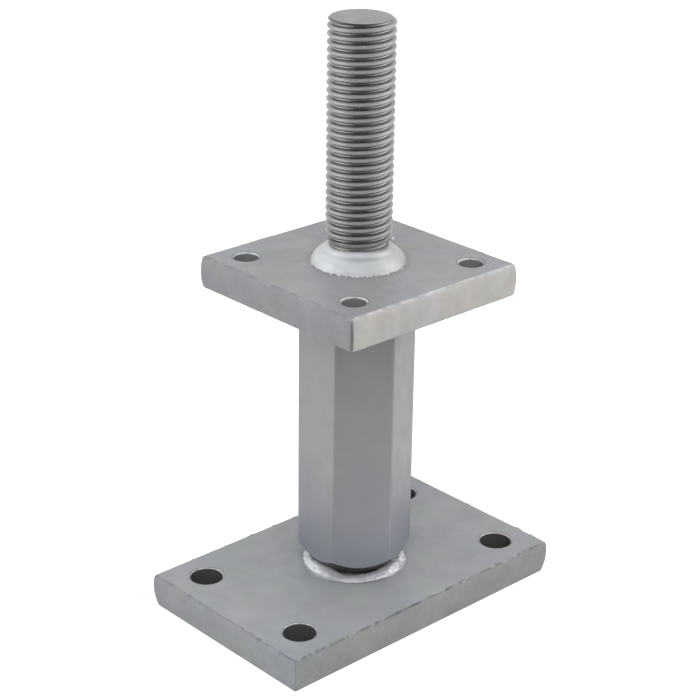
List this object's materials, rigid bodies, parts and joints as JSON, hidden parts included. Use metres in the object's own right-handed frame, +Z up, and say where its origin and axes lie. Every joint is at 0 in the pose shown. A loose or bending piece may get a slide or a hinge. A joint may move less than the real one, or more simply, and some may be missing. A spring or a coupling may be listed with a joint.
{
  "type": "adjustable post base",
  "caption": "Height-adjustable steel post base: rectangular anchor plate, welded hexagonal sleeve, and a screw-in threaded stud carrying a square head plate.",
  "frame": {"origin": "centre of the underside of the base plate", "axes": "+Z up along the threaded rod, +X along the long side of the base plate, +Y across it"},
  "size_m": [0.161, 0.1, 0.2745],
  "materials": {
    "zinc_plate": "dull zinc coating with a faint mottled bloom",
    "zinc_sleeve": "satin zinc coating on drawn hexagon bar",
    "zinc_thread": "satin zinc coating on a rolled thread",
    "zinc_weld": "bright zinc coating on a smooth weld bead"
  },
  "bodies": {
    "base": {"base_plate": "zinc_plate", "hex_sleeve": "zinc_sleeve", "base_weld": "zinc_weld"},
    "carrier": {"head_weld": "zinc_weld"},
    "head": {"threaded_rod": "zinc_thread", "head_plate": "zinc_plate"}
  },
  "joints": [
    {"name": "head_rise", "type": "slide", "parent": "base", "child": "carrier", "axis": [0, 0, 1], "range_m": [0, 0.0701]},
    {"name": "head_turn", "type": "hinge", "parent": "carrier", "child": "head", "pos_m": [0, 0, 0], "axis": [0, 0, 1], "range_deg": [0, 7200]}
  ],
  "couplings": [
    {"joint": "head_rise", "follows": "head_turn", "m_per_rad": 0.00055704}
  ]
}
